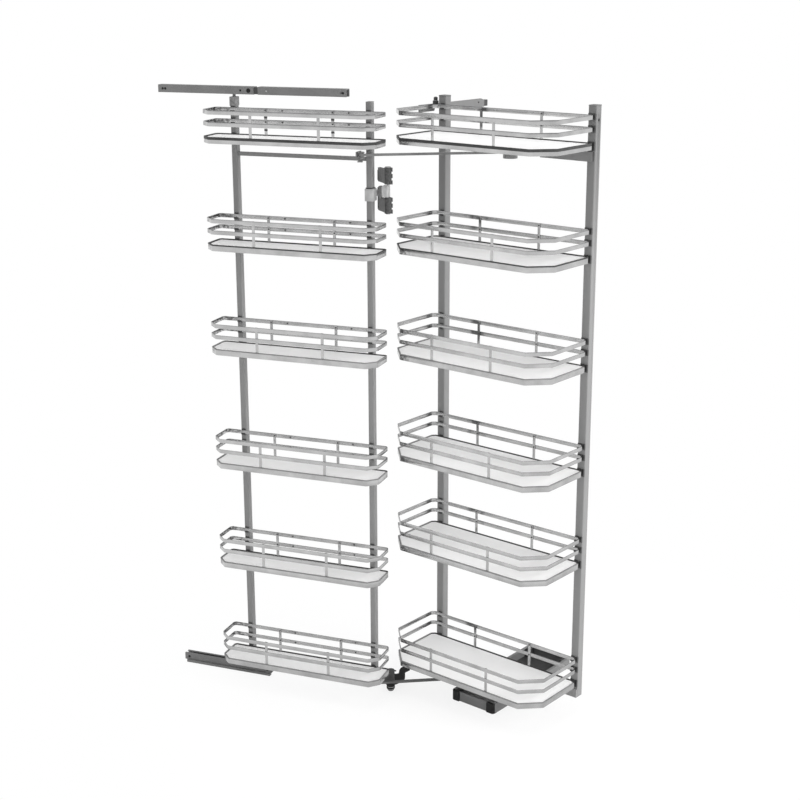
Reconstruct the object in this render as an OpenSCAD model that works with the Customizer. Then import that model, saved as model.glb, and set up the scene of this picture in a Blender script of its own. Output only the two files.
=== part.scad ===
// Pull out larder unit for a tall cabinet, shown open.
// An inner frame with six deep baskets slides on a floor runner. A door rack
// with six shallow baskets swings about a vertical axis at the cabinet side.
// Two link rods tie the rack to the frame, and two rails tie it to the door.
// +X runs across the cabinet, +Y into it, +Z up. The origin is the centre of
// the runner's underside, on the cabinet floor.

/* [Cabinet] */
// gap between the basket ends and each cabinet side
side_gap = 29; // [26:0.5:36]
// basket front of the inner frame, when pulled out
frame_front = -262; // [-300:1:-230]
// door rack opening angle at rest
open_angle = 160.8; // [120:0.1:165]
// how far the inner frame travels back as the rack closes
stroke = 183.7; // [150:0.1:200]

/* [Inner frame] */
// height of the underside of the uprights above the floor
upright_base = 57; // [50:1:80]
// length of the uprights
upright_len = 1609; // [1500:1:1700]
// width of the square upright tube
tube = 24; // [20:0.5:30]
// wall of the upright tubes
tube_wall = 1.6; // [1:0.1:3]
// how far the left upright stands in from the basket end
left_inset = 12; // [6:0.5:20]
// how far the right upright stands past the basket end
right_over = 1.5; // [0:0.5:8]

/* [Inner baskets] */
// length of the deep baskets
basket_len = 506; // [440:1:540]
// depth of the deep baskets
basket_depth = 210; // [190:1:230]
// front corner chamfer
front_chamfer = 50; // [30:1:60]
// back corner chamfer
back_chamfer = 10; // [6:1:16]

/* [Door rack] */
// length of the shallow baskets
rack_len = 485; // [430:1:500]
// depth of the shallow baskets
rack_depth = 99; // [80:1:110]
// front corner chamfer of the shallow baskets
rack_chamfer = 26; // [15:1:35]
// distance from the swing axis to the backs of the shallow baskets
rack_back = 39; // [36:0.5:44]
// how far the shallow baskets reach past the swing axis
rack_past = 12.5; // [8:0.5:14]
// width of the rack uprights
rack_tube_w = 16; // [12:0.5:17]
// depth of the rack uprights
rack_tube_d = 20; // [16:0.5:22]
// from the rack end to the middle of an upright
rack_tube_in = 50.5; // [46:0.5:58]

/* [Basket wire] */
// thickness of the flat strip
strip = 2; // [1.6:0.1:3]
// height of the bottom rim
rim_h = 16; // [12:0.5:20]
// height of a rail strip
rail_h = 11; // [8:0.5:13]
// top of the middle rail above the rim
mid_rise = 39.5; // [36:0.5:43]
// top of the upper rail above the rim
top_rise = 69.5; // [64:0.5:74]
// width of the upright strips
post_w = 8; // [6:0.5:9]
// distance between the two posts on a side
post_gap = 190; // [160:1:220]
// outer bend radius of the strip
bend_r = 8; // [5:0.5:14]
// thickness of the bottom panel
panel_t = 10; // [8:0.5:12]
// thickness of the clips between baskets and uprights
clip_t = 2; // [1.5:0.1:3]
// width of the clips
clip_w = 12; // [8:0.5:12]

/* [Swing axis] */
// distance of the swing axis from the cabinet side
axis_inset = 49; // [46:0.5:56]
// how far the swing axis lies in front of the basket fronts
axis_front = 8; // [0:0.5:14]
// radius of the hinge pins
hinge_pin_r = 4; // [3:0.1:5]
// running clearance on a radius
fit = 0.08; // [0.05:0.01:0.1]
// middle height of the upper hinge knuckle
knuckle_z = 1435; // [1425:1:1445]

/* [Link rods] */
// rod pin along the rack from the swing axis
pin_u = 48; // [44:0.5:52]
// rod pin across the rack from the swing axis
pin_v = 58; // [55:0.5:61]
// height of the upper rod's middle
rod_z_top = 1534; // [1528:0.5:1536]
// height of the lower rod's middle
rod_z_low = 47; // [46:0.5:48]
// width of a rod
rod_w = 8; // [6:0.5:10]
// thickness of a rod
rod_t = 6; // [5:0.5:8]
// rod end on the inner frame, from the cabinet middle
boss_x = 5; // [0:1:10]

// gap between a rod's end and the pad above it
pad_gap = 0.3; // [0.2:0.1:2]

/* [Guide rail] */
// length of the guide rail's plate
guide_len = 286; // [260:1:300]
// how far the guide rail starts in front of the cabinet's middle
guide_lead = 95; // [85:1:105]
// depth of the guide rail's plate at its far end
guide_h = 27; // [24:0.5:30]
// thickness of the guide rail's plate
guide_t = 5; // [4:0.5:6]
// first screw from the guide rail's near end
guide_hole = 20; // [16:1:24]

/* [Runner] */
// width of the floor runner
runner_w = 146; // [130:1:160]
// length of the floor runner
runner_len = 376; // [360:1:400]
// how far the guide rail's face stands off the cabinet side
rail_off = 13; // [9:0.5:15]
// height of the floor runner
runner_h = 30; // [26:1:30]
// sheet thickness of the runner
runner_t = 2; // [1.5:0.1:3]

/* [Door rails] */
// length of the rail that carries the slider
rail_long = 282; // [250:1:300]
// length of the second upper rail
rail_short = 250; // [200:1:260]
// height of the upper rails
rail_tall = 20; // [18:0.5:24]
// depth of the rails
rail_deep = 22; // [18:0.5:24]
// free end of the rails past the rack's free end
rail_past = 169.5; // [150:0.5:180]
// how far the door rails travel along the rack
rail_travel = 138; // [120:1:140]

/* [Hidden] */
$fn = 48;
eps = 0.01;
// rim tops of the baskets, from the top down
frame_z = [1573, 1288.5, 1003, 718, 457.5, 105];
rack_z = [1573, 1291, 1007, 684, 391, 94];
cabinet_clear = basket_len + 2 * side_gap;
basket_back = frame_front + basket_depth;
tube_y = basket_back + clip_t;
left_x = -basket_len / 2 + left_inset;
right_x = basket_len / 2 + right_over - tube;
upright_top = upright_base + upright_len;
axis_x = -cabinet_clear / 2 + axis_inset;
axis_y = frame_front - axis_front;
rack_front = rack_back + rack_depth;
rack_tube_y = rack_back - clip_t - rack_tube_d;
rack_right = -rack_past + rack_tube_in;
rack_left = -rack_past + rack_len - rack_tube_in;
rail_y0 = rack_tube_y + rack_tube_d / 2 - rail_deep / 2;
boss_y = basket_back - 10;
// rod ends at rest, the rack standing open
c0x = axis_x + pin_u * cos(-open_angle) - pin_v * sin(-open_angle);
c0y = axis_y + pin_u * sin(-open_angle) + pin_v * cos(-open_angle);
rod_len = norm([boss_x - c0x, boss_y - c0y]);
rod_ang = atan2(boss_y - c0y, boss_x - c0x);
rail_u1 = -rack_past + rack_len + rail_past;
rail_u0 = rail_u1 - rail_long;
rail_z = upright_top + 10;
low_rail_h = 20;
low_rail_z = 14;
knuckle_h = 30;
runner_y0 = -runner_len / 2;
cap_w = 25;
guide_y0 = -guide_lead;
guide_top = upright_top - 25;
bar_t = 10;
bar_y = rack_tube_y + rack_tube_d / 2 - bar_t / 2;
bar_hi = rod_z_top - rod_t / 2 - bar_t - 5.5;
bar_lo = rod_z_low + 10;
clamp_side = 5;
cap_side = 3;
chrome = [0.78, 0.78, 0.79];
steel = [0.50, 0.50, 0.51];
slate = [0.42, 0.42, 0.43];
black = [0.16, 0.16, 0.17];
white = [0.94, 0.94, 0.93];
silver = [0.70, 0.70, 0.71];

// ---- outlines -------------------------------------------------------------

// points of one bent corner: b is the corner, a and c its neighbours
function corner(a, b, c, r, n = 4) =
  let (u = (a - b) / norm(a - b), v = (c - b) / norm(c - b),
       h = acos(u * v) / 2, d = r / tan(h),
       m = b + (u + v) / norm(u + v) * r / sin(h),
       p = b + u * d, q = b + v * d,
       a0 = atan2(p[1] - m[1], p[0] - m[0]),
       a1 = atan2(q[1] - m[1], q[0] - m[0]),
       da = a1 - a0 > 180 ? a1 - a0 - 360 : a1 - a0 < -180 ? a1 - a0 + 360 : a1 - a0)
  [for (i = [0:n]) m + r * [cos(a0 + da * i / n), sin(a0 + da * i / n)]];

// chamfered rectangle with bent corners, drawn in by e on every side
function outline(w, d, cf, cb, e, r) =
  let (k = 2 - sqrt(2), f = cf - k * e, b = max(cb - k * e, 1.5),
       p = [[e + f, e], [w - e - f, e], [w - e, e + f], [w - e, d - e - b],
            [w - e - b, d - e], [e + b, d - e], [e, d - e - b], [e, e + f]],
       rr = [r, r, r, min(r, cb), min(r, cb), min(r, cb), min(r, cb), r])
  [for (i = [0:7]) each corner(p[(i + 7) % 8], p[i], p[(i + 1) % 8], max(rr[i] - e, 0.5))];

module loop(w, d, cf, cb, e0, e1, z, h)
  translate([0, 0, z]) linear_extrude(h) difference() {
    polygon(outline(w, d, cf, cb, e0, bend_r));
    polygon(outline(w, d, cf, cb, e1, bend_r));
  }

// a basket: rim with a ledge, two rails and four posts; z is the rim top
module wire_basket(w, d, cf, cb, z) {
  loop(w, d, cf, cb, 0, strip, z - rim_h, rim_h);
  loop(w, d, cf, cb, strip - 0.2, strip + 8, z - panel_t - 3, 1.5);
  loop(w, d, cf, cb, 0, strip, z + mid_rise - rail_h, rail_h);
  loop(w, d, cf, cb, 0, strip, z + top_rise - rail_h, rail_h);
  for (x = [-1, 1], y = [strip - 0.1, d - 2 * strip + 0.1])
    translate([w / 2 + x * post_gap / 2 - post_w / 2, y, z - rim_h + 1])
      cube([post_w, strip, top_rise + rim_h - 1]);
}

module panel(w, d, cf, cb, z)
  translate([0, 0, z - panel_t - 1.5]) linear_extrude(panel_t)
    polygon(outline(w, d, cf, cb, 2 * strip + 0.6, bend_r));

module place_frame() translate([-basket_len / 2, frame_front, 0]) children();

// the rack's own frame: x along the rack to its free end, y to the basket
// fronts, origin on the swing axis
module place_rack()
  translate([axis_x, axis_y, 0]) rotate([0, 0, -open_angle]) children();

module place_rack_basket()
  place_rack() translate([rack_len - rack_past, rack_front, 0]) rotate([0, 0, 180]) children();

module frame_basket(i) color(chrome) place_frame()
  wire_basket(basket_len, basket_depth, front_chamfer, back_chamfer, frame_z[i]);
module frame_panel(i) color(white) place_frame()
  panel(basket_len, basket_depth, front_chamfer, back_chamfer, frame_z[i]);
module rack_basket(i) color(chrome) place_rack_basket()
  wire_basket(rack_len, rack_depth, rack_chamfer, 6, rack_z[i]);
module rack_panel(i) color(white) place_rack_basket()
  panel(rack_len, rack_depth, rack_chamfer, 6, rack_z[i]);

module box_tube(w, d, t, z, h)
  translate([0, 0, z]) linear_extrude(h) difference() {
    square([w, d]);
    translate([t, t]) square([w - 2 * t, d - 2 * t]);
  }

// a clip at x, between a strip's back at y and the upright, hooked under the
// strip; z is the strip's top, h its height, drop how far the clip hangs down
module clip(x, y, z, h, drop, s = 1) {
  translate([x - clip_w / 2, min(y, y + s * clip_t), z - h - drop]) cube([clip_w, clip_t, h + drop - 0.5]);
  translate([x - clip_w / 2, min(y - s * 3, y + s * clip_t), z - h - 2]) cube([clip_w, 3 + clip_t, 2]);
}
module clips_at(x, y, z, s = 1) {
  clip(x, y, z, rim_h, 4, s);
  for (k = [mid_rise, top_rise]) clip(x, y, z + k, rail_h, 10, s);
}

// ---- fixed to the cabinet -------------------------------------------------

module runner_channel() color(slate) difference() {
  translate([-runner_w / 2, runner_y0 + 4, 0]) cube([runner_w, runner_len - 4, runner_h]);
  translate([-runner_w / 2 + runner_t, runner_y0, runner_t])
    cube([runner_w - 2 * runner_t, runner_len - runner_t, runner_h - 2 * runner_t]);
  translate([-runner_w / 2 + 8, runner_y0, runner_t + 5])
    cube([runner_w - 16, runner_len - 8, runner_h]);
  for (y = [-120, 0, 120], x = [-1, 1])
    translate([x * 48, y, -1]) cylinder(r = 2.5, h = 5);
}
module runner_front() color(steel)
  translate([-runner_w / 2 + cap_w, runner_y0, 0.5]) cube([runner_w - 2 * cap_w, 4, runner_h - 1]);
module runner_caps() color(black) for (s = [-1, 1]) mirror([s < 0 ? 1 : 0, 0, 0])
  translate([runner_w / 2 - cap_w, runner_y0 + 4, 0]) intersection() {
    translate([0, -8, 0]) cube([cap_w, 8, runner_h]);
    union() {
      translate([cap_w - 8, 0, 0]) cylinder(r = 8, h = runner_h);
      translate([0, -8, 0]) cube([cap_w - 8, 8, runner_h]);
    }
  }
module runner_stops() color(black) for (s = [-1, 1]) {
  translate([s * (runner_w / 2 - 11) - 9, runner_y0 + runner_len - 26, runner_t])
    cube([18, 18, runner_h - 2 * runner_t]);
}
// thin plate on two round spacers, deeper at its ends than in the middle
module guide_rail() color(slate)
  translate([-cabinet_clear / 2, guide_y0, guide_top]) rotate([90, 0, 90]) difference() {
    union() {
      translate([0, 0, rail_off - guide_t]) linear_extrude(guide_t)
        polygon([[0, -guide_h + 7.5], [62, -guide_h + 7.5], [66, -guide_h + 17], [141, -guide_h + 12.5],
                 [guide_len - 24, -guide_h], [guide_len, -guide_h + 3],
                 [guide_len, -5], [guide_len - 14, -1], [0, 0]]);
      for (y = [guide_hole, guide_len - guide_hole - 6]) translate([y, -11, 0]) cylinder(r = 6, h = rail_off - 1);
    }
    for (y = [guide_hole, guide_len - guide_hole - 6]) translate([y, -11, -1]) cylinder(r = 2.5, h = rail_off + 2);
  }
module guide_rail_end() color(black)
  translate([-cabinet_clear / 2, guide_y0 + guide_len, guide_top - guide_h + 4]) cube([rail_off - 1, 17, 17]);

// a hinge block: wall pad, body and ribbed barrel; z is its underside
module hinge_block(z, h) difference() {
  union() {
    translate([axis_x, axis_y, z]) rotate([0, 0, -90]) cylinder(r = 9.5, h = h);
    translate([-cabinet_clear / 2, axis_y + 15, z + 5]) cube([4, 30, h - 16]);
    translate([-cabinet_clear / 2, axis_y, z + 2]) linear_extrude(h - 6)
      polygon([[1, 16], [1, 25], [axis_inset + 3, 7.5], [axis_inset - 5, -7]]);
    translate([axis_x, axis_y, z]) rotate([0, 0, 40]) difference() {
      translate([2, -6, 0]) cube([10.2, 12, h]);
      for (k = [0, 1]) translate([8.8, -7, 9 + k * (h - 9) / 2]) cube([4, 14, (h - 27) / 2]);
    }
    translate([axis_x, axis_y, z + h - 2]) cylinder(r = 9, h = 3.5);
  }
  translate([axis_x, axis_y, z - 1]) cylinder(r = hinge_pin_r + fit, h = h + 4);
  for (k = [-1, 1])
    translate([-cabinet_clear / 2 - 1, axis_y + 37, z + h / 2 - 2 + 8 * k]) rotate([0, 90, 0]) cylinder(r = 2.2, h = 6);
}
block_h = 40;
block_lo = knuckle_z - knuckle_h / 2 - 1.8 - block_h;
block_hi = knuckle_z + knuckle_h / 2 + 4;
module hinge_block_upper() color(black) hinge_block(block_hi, block_h + 2);
module hinge_block_lower() color(black) {
  hinge_block(block_lo, block_h);
  translate([-cabinet_clear / 2, axis_y + 15, block_lo + 25]) cube([4, 6, block_h - 3]);
}
module hinge_pin() color(silver) translate([axis_x, axis_y, 0]) {
  translate([0, 0, block_lo - 1]) cylinder(r = hinge_pin_r, h = block_hi + block_h + 5 - block_lo);
  translate([0, 0, block_lo - 2]) cylinder(r = hinge_pin_r + 2, h = 2);
  translate([0, 0, block_hi + block_h + 3.6]) cylinder(r = hinge_pin_r + 3, h = 2);
}
// ringed foot with a tapered end
module pivot_foot() color(black) translate([axis_x, axis_y, 0]) difference() {
  union() {
    translate([0, 0, 5.5]) cylinder(r1 = 7.5, r2 = foot_r, h = 4);
    translate([0, 0, 9]) cylinder(r = foot_r - 2.5, h = plate_z - 9);
    for (z = [9.5, 14.5, 20.5]) translate([0, 0, z]) cylinder(r = foot_r, h = z < 10 ? 3.5 : 4.5);
  }
  translate([0, 0, 9.5]) cylinder(r = hinge_pin_r + fit, h = 30);
}
foot_r = 12;
plate_z = 26;
// flat plate from the cabinet side to the lower pivot, with an arm to the back
module pivot_plate() color(black) difference() {
  union() {
    translate([axis_x, axis_y, plate_z]) cylinder(r = 14, h = 6);
    translate([axis_x, axis_y, plate_z]) linear_extrude(6)
      polygon([[-12, -9], [9, -12], [15, 10], [17, 38], [10, 52], [3, 61], [-4, 68], [-13, 81], [-12, 101],
               [-36, 101], [-36, 88], [-30, 74], [-18, 57], [-22, 50], [-33, 46], [-axis_inset + 1, 46], [-axis_inset + 1, 22], [-26, -2]]);
    translate([-cabinet_clear / 2, axis_y + 22, 4]) cube([4, 36, plate_z + 8]);
  }
  translate([axis_x, axis_y, 20]) cylinder(r = hinge_pin_r + fit, h = 20);
  for (y = [30, 50]) translate([-cabinet_clear / 2 - 1, axis_y + y, 16]) rotate([0, 90, 0]) cylinder(r = 2.5, h = 8);
}

// ---- inner frame ----------------------------------------------------------

module upright_left() color(steel) translate([left_x, tube_y, 0])
  box_tube(tube, tube, tube_wall, upright_base, upright_len - 3);
module upright_right() color(steel) difference() {
  translate([right_x, tube_y, 0]) box_tube(tube, tube, tube_wall, upright_base, upright_len - 3);
  translate([right_x + tube - 4, tube_y + tube / 2, upright_top - 37]) rotate([0, 90, 0]) cylinder(r = 2.5, h = 8);
}
module upright_plugs() color(slate) for (x = [left_x, right_x]) {
  translate([x, tube_y, upright_top - 3]) cube([tube, tube, 3]);
  translate([x + tube_wall, tube_y + tube_wall, upright_top - 12])
    cube([tube - 2 * tube_wall, tube - 2 * tube_wall, 9 + eps]);
}
// flat arm from the right upright to the rod end
module link_arm() color(steel) {
  arm_lo = rod_z_top - 6;
  pad_lo = rod_z_top + rod_t / 2 + pad_gap;
  translate([0, tube_y, 0]) rotate([90, 0, 0]) linear_extrude(6)
    polygon([[boss_x - 10, pad_lo], [84, pad_lo], [94, arm_lo - 1], [right_x + tube - 4, arm_lo - 1],
             [right_x + tube - 4, arm_lo + 24], [boss_x - 10, arm_lo + 24]]);
  translate([boss_x, boss_y, pad_lo]) cylinder(r = 16, h = 6);
  translate([boss_x - 16, boss_y, pad_lo]) cube([60, tube_y - boss_y, 6]);
  translate([boss_x, boss_y, pad_lo + 6 - eps]) cylinder(r = 8, h = 5);
}
module base_beam() color(steel) {
  beam_lo = rod_z_low + rod_t / 2 + 7;
  pad_lo = rod_z_low + rod_t / 2 + pad_gap;
  translate([left_x, tube_y - 6, beam_lo]) cube([right_x + tube - left_x, 6, 24]);
  translate([boss_x, boss_y, pad_lo]) cylinder(r = 16, h = 6.7);
  translate([boss_x - 16, boss_y, pad_lo]) cube([32, tube_y - boss_y, 7.5]);
}
// hangs from the beam into the runner and carries the frame's weight
module carriage() color(slate) {
  beam_lo = rod_z_low + rod_t / 2 + 7;
  translate([-60, tube_y, beam_lo]) cube([120, 34, 6]);
  translate([-60, tube_y, beam_lo]) cube([120, 4, 20]);
  translate([-50, tube_y + 14, runner_t + 4]) cube([100, 18, beam_lo - runner_t - 3.5]);
  translate([-62, tube_y - 108, runner_t + 0.3]) cube([124, 134, 12]);
  for (x = [-1, 1], y = [tube_y - 100, tube_y + 8])
    translate([x * 62.5 - 3, y, runner_t + 3]) cube([6, 18, 8]);
}
module roller_bracket() color(silver) difference() {
  union() {
    translate([left_x - 2.5, tube_y, upright_top - 35]) cube([tube + 5, tube + 2.5, 7]);
    translate([axis_x - 31, tube_y + tube / 2 - 8, upright_top - 35]) cube([24, 16, 5]);
    translate([roller_x, tube_y + tube / 2, upright_top - 35]) cylinder(r = 3, h = 29);
  }
  translate([left_x, tube_y, upright_top - 40]) cube([tube, tube, 20]);
}
roller_x = -cabinet_clear / 2 + rail_off + 0.4 + 8;
module guide_roller() color(black) translate([roller_x, tube_y + tube / 2, upright_top - 29.5]) difference() {
  union() {
    cylinder(r = 8, h = 13);
    translate([0, 0, 13 - eps]) cylinder(r = 5.5, h = 9);
  }
  translate([0, 0, -1]) cylinder(r = 3 + fit, h = 30);
}
module frame_clips() color(black) place_frame()
  for (z = frame_z, x = [left_inset + 15, basket_len - back_chamfer - 5.5])
    clips_at(x, basket_depth, z);

// ---- door rack ------------------------------------------------------------

module rack_upright_left() color(steel) place_rack()
  translate([rack_left - rack_tube_w / 2, rack_tube_y, 0])
    box_tube(rack_tube_w, rack_tube_d, tube_wall, upright_base, upright_len);
module rack_upright_right() color(steel) place_rack()
  translate([rack_right - rack_tube_w / 2, rack_tube_y, 0])
    box_tube(rack_tube_w, rack_tube_d, tube_wall, upright_base, upright_len);
// both bars lie between the uprights, the lower one between clamp and cap
module rack_bars() color(steel) place_rack() {
  translate([rack_right + rack_tube_w / 2, bar_y, bar_hi]) cube([rack_left - rack_right - rack_tube_w, bar_t, bar_t]);
  translate([rack_right + rack_tube_w / 2 + clamp_side, bar_y, bar_lo])
    cube([rack_left - rack_right - rack_tube_w - clamp_side - cap_side, bar_t, bar_t]);
}
// a collar on a bar with a fork for the rod; z is the rod's middle height
module collar(z, bar_z) difference() {
  union() {
    translate([pin_u + 6, bar_y - 3, bar_z - 3.5]) cube([10, bar_t + 6, bar_t + 7]);
    for (k = [bar_z - 3.5, bar_z + bar_t - 0.5])
      translate([pin_u + 4, bar_y - 3, k]) cube([14, bar_t + 6, 4]);
    translate([pin_u + 10, bar_y + 6, z - rod_t / 2 - 4]) cube([8, pin_v + 2 - bar_y - 6, rod_t + 8]);
    for (s = [-1, 1]) translate([0, 0, z + s * (rod_t / 2 + 2.25) - 1.75]) {
      translate([pin_u, pin_v, 0]) cylinder(r = 7, h = 3.5);
      translate([pin_u, pin_v - 7, 0]) cube([12, 14, 3.5]);
    }
    for (s = [-1, 1]) translate([pin_u, pin_v, z + s * (rod_t / 2 + 4.25) - 0.75]) cylinder(r = 5.5, h = 1.5);
  }
  translate([pin_u - 10, bar_y, bar_z]) cube([60, bar_t, bar_t]);
  translate([pin_u, pin_v, z - rod_t / 2 - 3.5]) cylinder(r = 4 + fit, h = rod_t + 7);
}
module rack_collars() color(slate) place_rack() {
  collar(rod_z_top, bar_hi);
  collar(rod_z_low, bar_lo);
}
module rack_hinge_upper() color(silver) place_rack() difference() {
  union() {
    rotate([0, 0, -90]) cylinder_at(0, 0, knuckle_z - knuckle_h / 2, hinge_pin_r + 2.5, knuckle_h);
    rotate([0, 0, 52]) translate([0, -5.5, knuckle_z - knuckle_h / 2]) {
      cube([24, 6, knuckle_h]);
      for (k = [0:4]) translate([3 + k * 4.4, -1, 0]) cube([2, 2, knuckle_h]);
    }
    translate([16, 14.5, knuckle_z - knuckle_h / 2]) cube([13, 5, knuckle_h - 7]);
    translate([rack_right - rack_tube_w / 2 - 3.5, rack_tube_y - 4, knuckle_z - 22])
      cube([rack_tube_w + 7, rack_tube_d + 7, 32]);
  }
  translate([rack_right - rack_tube_w / 2, rack_tube_y, 0]) cube([rack_tube_w, rack_tube_d, upright_top]);
  cylinder_at(0, 0, 0, hinge_pin_r + fit, upright_top);
}
module cylinder_at(x, y, z, r, h) translate([x, y, z]) cylinder(r = r, h = h);
module rack_hinge_lower() color(slate) place_rack() {
  difference() {
    union() {
      cylinder_at(0, 0, 32.3, 11, 38);
      translate([0, 4, 32.3]) rotate([0, 0, 18]) cube([30, 5, 37]);
      translate([rack_right - rack_tube_w / 2 - clamp_side, rack_tube_y - 4, upright_base - 5])
        cube([rack_tube_w + 2 * clamp_side, rack_tube_d + 4, 26]);
    }
    translate([rack_right - rack_tube_w / 2, rack_tube_y, upright_base]) cube([rack_tube_w, rack_tube_d, 100]);
  }
  cylinder_at(0, 0, 10, hinge_pin_r, 24);
}
module rack_sliders() color(silver) place_rack() translate([rack_left, rack_tube_y + rack_tube_d / 2, 0]) {
  difference() {
    translate([-rack_tube_w / 2 - 1, -rack_tube_d / 2 - 1, upright_top - 20.5]) cube([rack_tube_w + 2, rack_tube_d + 2, 23.5]);
    translate([-rack_tube_w / 2, -rack_tube_d / 2, upright_top - 30]) cube([rack_tube_w, rack_tube_d, 30]);
  }
  translate([0, 0, upright_top + 2]) cylinder(r = 4.2, h = 12);
  translate([0, 0, upright_top + 13]) cylinder(r = rail_deep / 2 - 2.3, h = 8);
  difference() {
    translate([-rack_tube_w / 2 - cap_side, -rack_tube_d / 2 - 2, upright_base - 5]) cube([rack_tube_w + 2 * cap_side, rack_tube_d + 2, 22]);
    translate([-rack_tube_w / 2, -rack_tube_d / 2, upright_base]) cube([rack_tube_w, rack_tube_d, 30]);
  }
  translate([0, 0, 28]) cylinder(r = 4.2, h = 25);
  translate([0, 0, 20]) cylinder(r = rail_deep / 2 - 2.3, h = 9);
}
module rack_clips() color(black) place_rack()
  for (z = rack_z, x = [rack_right, rack_left]) clips_at(x, rack_back, z, -1);

// ---- link rods ------------------------------------------------------------

module rod(z) translate([c0x, c0y, z]) rotate([0, 0, rod_ang]) {
  difference() {
    union() {
      translate([0, -rod_w / 2, -rod_t / 2]) cube([rod_len, rod_w, rod_t]);
      for (x = [0, rod_len]) translate([x, 0, -rod_t / 2]) cylinder(r = x > 0 ? 9 : 6.5, h = rod_t);
    }
    translate([rod_len, 0, -rod_t / 2 - 1]) cylinder(r = 4, h = rod_t + 2);
  }
  translate([0, 0, -rod_t / 2 - 3]) cylinder(r = 4, h = rod_t + 6);
  translate([rod_len, 0, -rod_t / 2 - 12]) cylinder(r = 19, h = 10);
  translate([rod_len, 0, -rod_t / 2 - 3]) cylinder(r = 10, h = 3 + eps);
  translate([rod_len, 0, -rod_t / 2 - 3]) cylinder(r = 4.5, h = rod_t + 3);
}
module rod_upper() color(silver) rod(rod_z_top);
module rod_lower() color(silver) rod(rod_z_low);

// ---- door rails -----------------------------------------------------------

// C section along x, open down or up, from y = rail_y0
module c_rail(len, h, mouth_down) difference() {
  cube([len, rail_deep, h]);
  translate([-1, 2, mouth_down ? 2 : 2]) cube([len + 2, rail_deep - 4, h - 4]);
  translate([-1, rail_deep / 2 - 5, mouth_down ? -1 : h - 3]) cube([len + 2, 10, 4]);
}
module door_rail_upper() color(slate) place_rack() translate([rail_u0, rail_y0, rail_z]) difference() {
  c_rail(rail_long, rail_tall, true);
  for (h = [[15, 4.5], [38, 2.2], [rail_long - 14, 2.6]])
    translate([h[0], -1, rail_tall / 2]) rotate([-90, 0, 0]) cylinder(r = h[1], h = rail_deep + 2);
}
module door_rail_joiner() color(black) place_rack()
  translate([rail_u0 - 12, rail_y0 + 1, rail_z + 1]) cube([12, rail_deep - 2, rail_tall - 3]);
module door_rail_second() color(slate) place_rack() translate([rail_u0 - 12 - rail_short, rail_y0, rail_z]) difference() {
  c_rail(rail_short, rail_tall, true);
  for (x = [14, rail_short - 25]) translate([x, -1, rail_tall / 2]) rotate([-90, 0, 0]) cylinder(r = 2.6, h = rail_deep + 2);
}
module door_rail_lower() color(slate) place_rack() {
  translate([rail_u0, rail_y0, low_rail_z]) difference() {
    c_rail(rail_long, low_rail_h, false);
    for (x = [12, rail_long - 14]) translate([x, -1, low_rail_h / 2]) rotate([-90, 0, 0]) cylinder(r = 2.6, h = rail_deep + 2);
  }
  translate([rail_u0 + 2, rail_y0 + rail_deep - 6, 4.5]) cube([rail_long - 10, 11, 10.5]);
}

runner_channel();
runner_front();
runner_caps();
runner_stops();
guide_rail();
guide_rail_end();
hinge_block_upper();
hinge_block_lower();
hinge_pin();
pivot_foot();
pivot_plate();
upright_left();
upright_right();
upright_plugs();
link_arm();
base_beam();
carriage();
roller_bracket();
frame_clips();
frame_basket(0);  // basket_1
frame_basket(1);  // basket_2
frame_basket(2);  // basket_3
frame_basket(3);  // basket_4
frame_basket(4);  // basket_5
frame_basket(5);  // basket_6
frame_panel(0);  // panel_1
frame_panel(1);  // panel_2
frame_panel(2);  // panel_3
frame_panel(3);  // panel_4
frame_panel(4);  // panel_5
frame_panel(5);  // panel_6
guide_roller();
rack_upright_left();
rack_upright_right();
rack_bars();
rack_collars();
rack_hinge_upper();
rack_hinge_lower();
rack_sliders();
rack_clips();
rack_basket(0);  // rack_basket_1
rack_basket(1);  // rack_basket_2
rack_basket(2);  // rack_basket_3
rack_basket(3);  // rack_basket_4
rack_basket(4);  // rack_basket_5
rack_basket(5);  // rack_basket_6
rack_panel(0);  // rack_panel_1
rack_panel(1);  // rack_panel_2
rack_panel(2);  // rack_panel_3
rack_panel(3);  // rack_panel_4
rack_panel(4);  // rack_panel_5
rack_panel(5);  // rack_panel_6
rod_upper();
rod_lower();
door_rail_upper();
door_rail_joiner();
door_rail_second();
door_rail_lower();
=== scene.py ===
# %% [markdown]
# # A pull out larder unit
# The unit stands open: six deep trays hang on a frame that slides on a floor
# runner, and six shallow trays hang on a rack that swings beside it. The
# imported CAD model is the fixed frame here. This lesson dresses it: first the
# camera and the light, then the finishes, then one kind of piece at a time.

# %% Load the frame
import math

import bmesh
import bpy
from mathutils import Matrix, Vector


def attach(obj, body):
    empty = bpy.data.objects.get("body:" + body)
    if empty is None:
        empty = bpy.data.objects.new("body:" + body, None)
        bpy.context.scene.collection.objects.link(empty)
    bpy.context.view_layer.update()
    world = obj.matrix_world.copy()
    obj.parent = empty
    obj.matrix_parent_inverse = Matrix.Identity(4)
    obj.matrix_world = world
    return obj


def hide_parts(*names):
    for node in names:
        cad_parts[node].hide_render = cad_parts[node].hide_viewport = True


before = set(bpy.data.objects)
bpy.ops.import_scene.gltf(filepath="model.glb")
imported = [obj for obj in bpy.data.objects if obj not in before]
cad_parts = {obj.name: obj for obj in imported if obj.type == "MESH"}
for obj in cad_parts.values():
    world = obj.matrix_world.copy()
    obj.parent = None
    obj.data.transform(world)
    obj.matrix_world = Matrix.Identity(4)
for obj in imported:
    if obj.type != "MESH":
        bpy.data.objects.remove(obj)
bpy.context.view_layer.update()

MM = 0.001
scene = bpy.context.scene
scene.view_settings.view_transform = "Standard"

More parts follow.
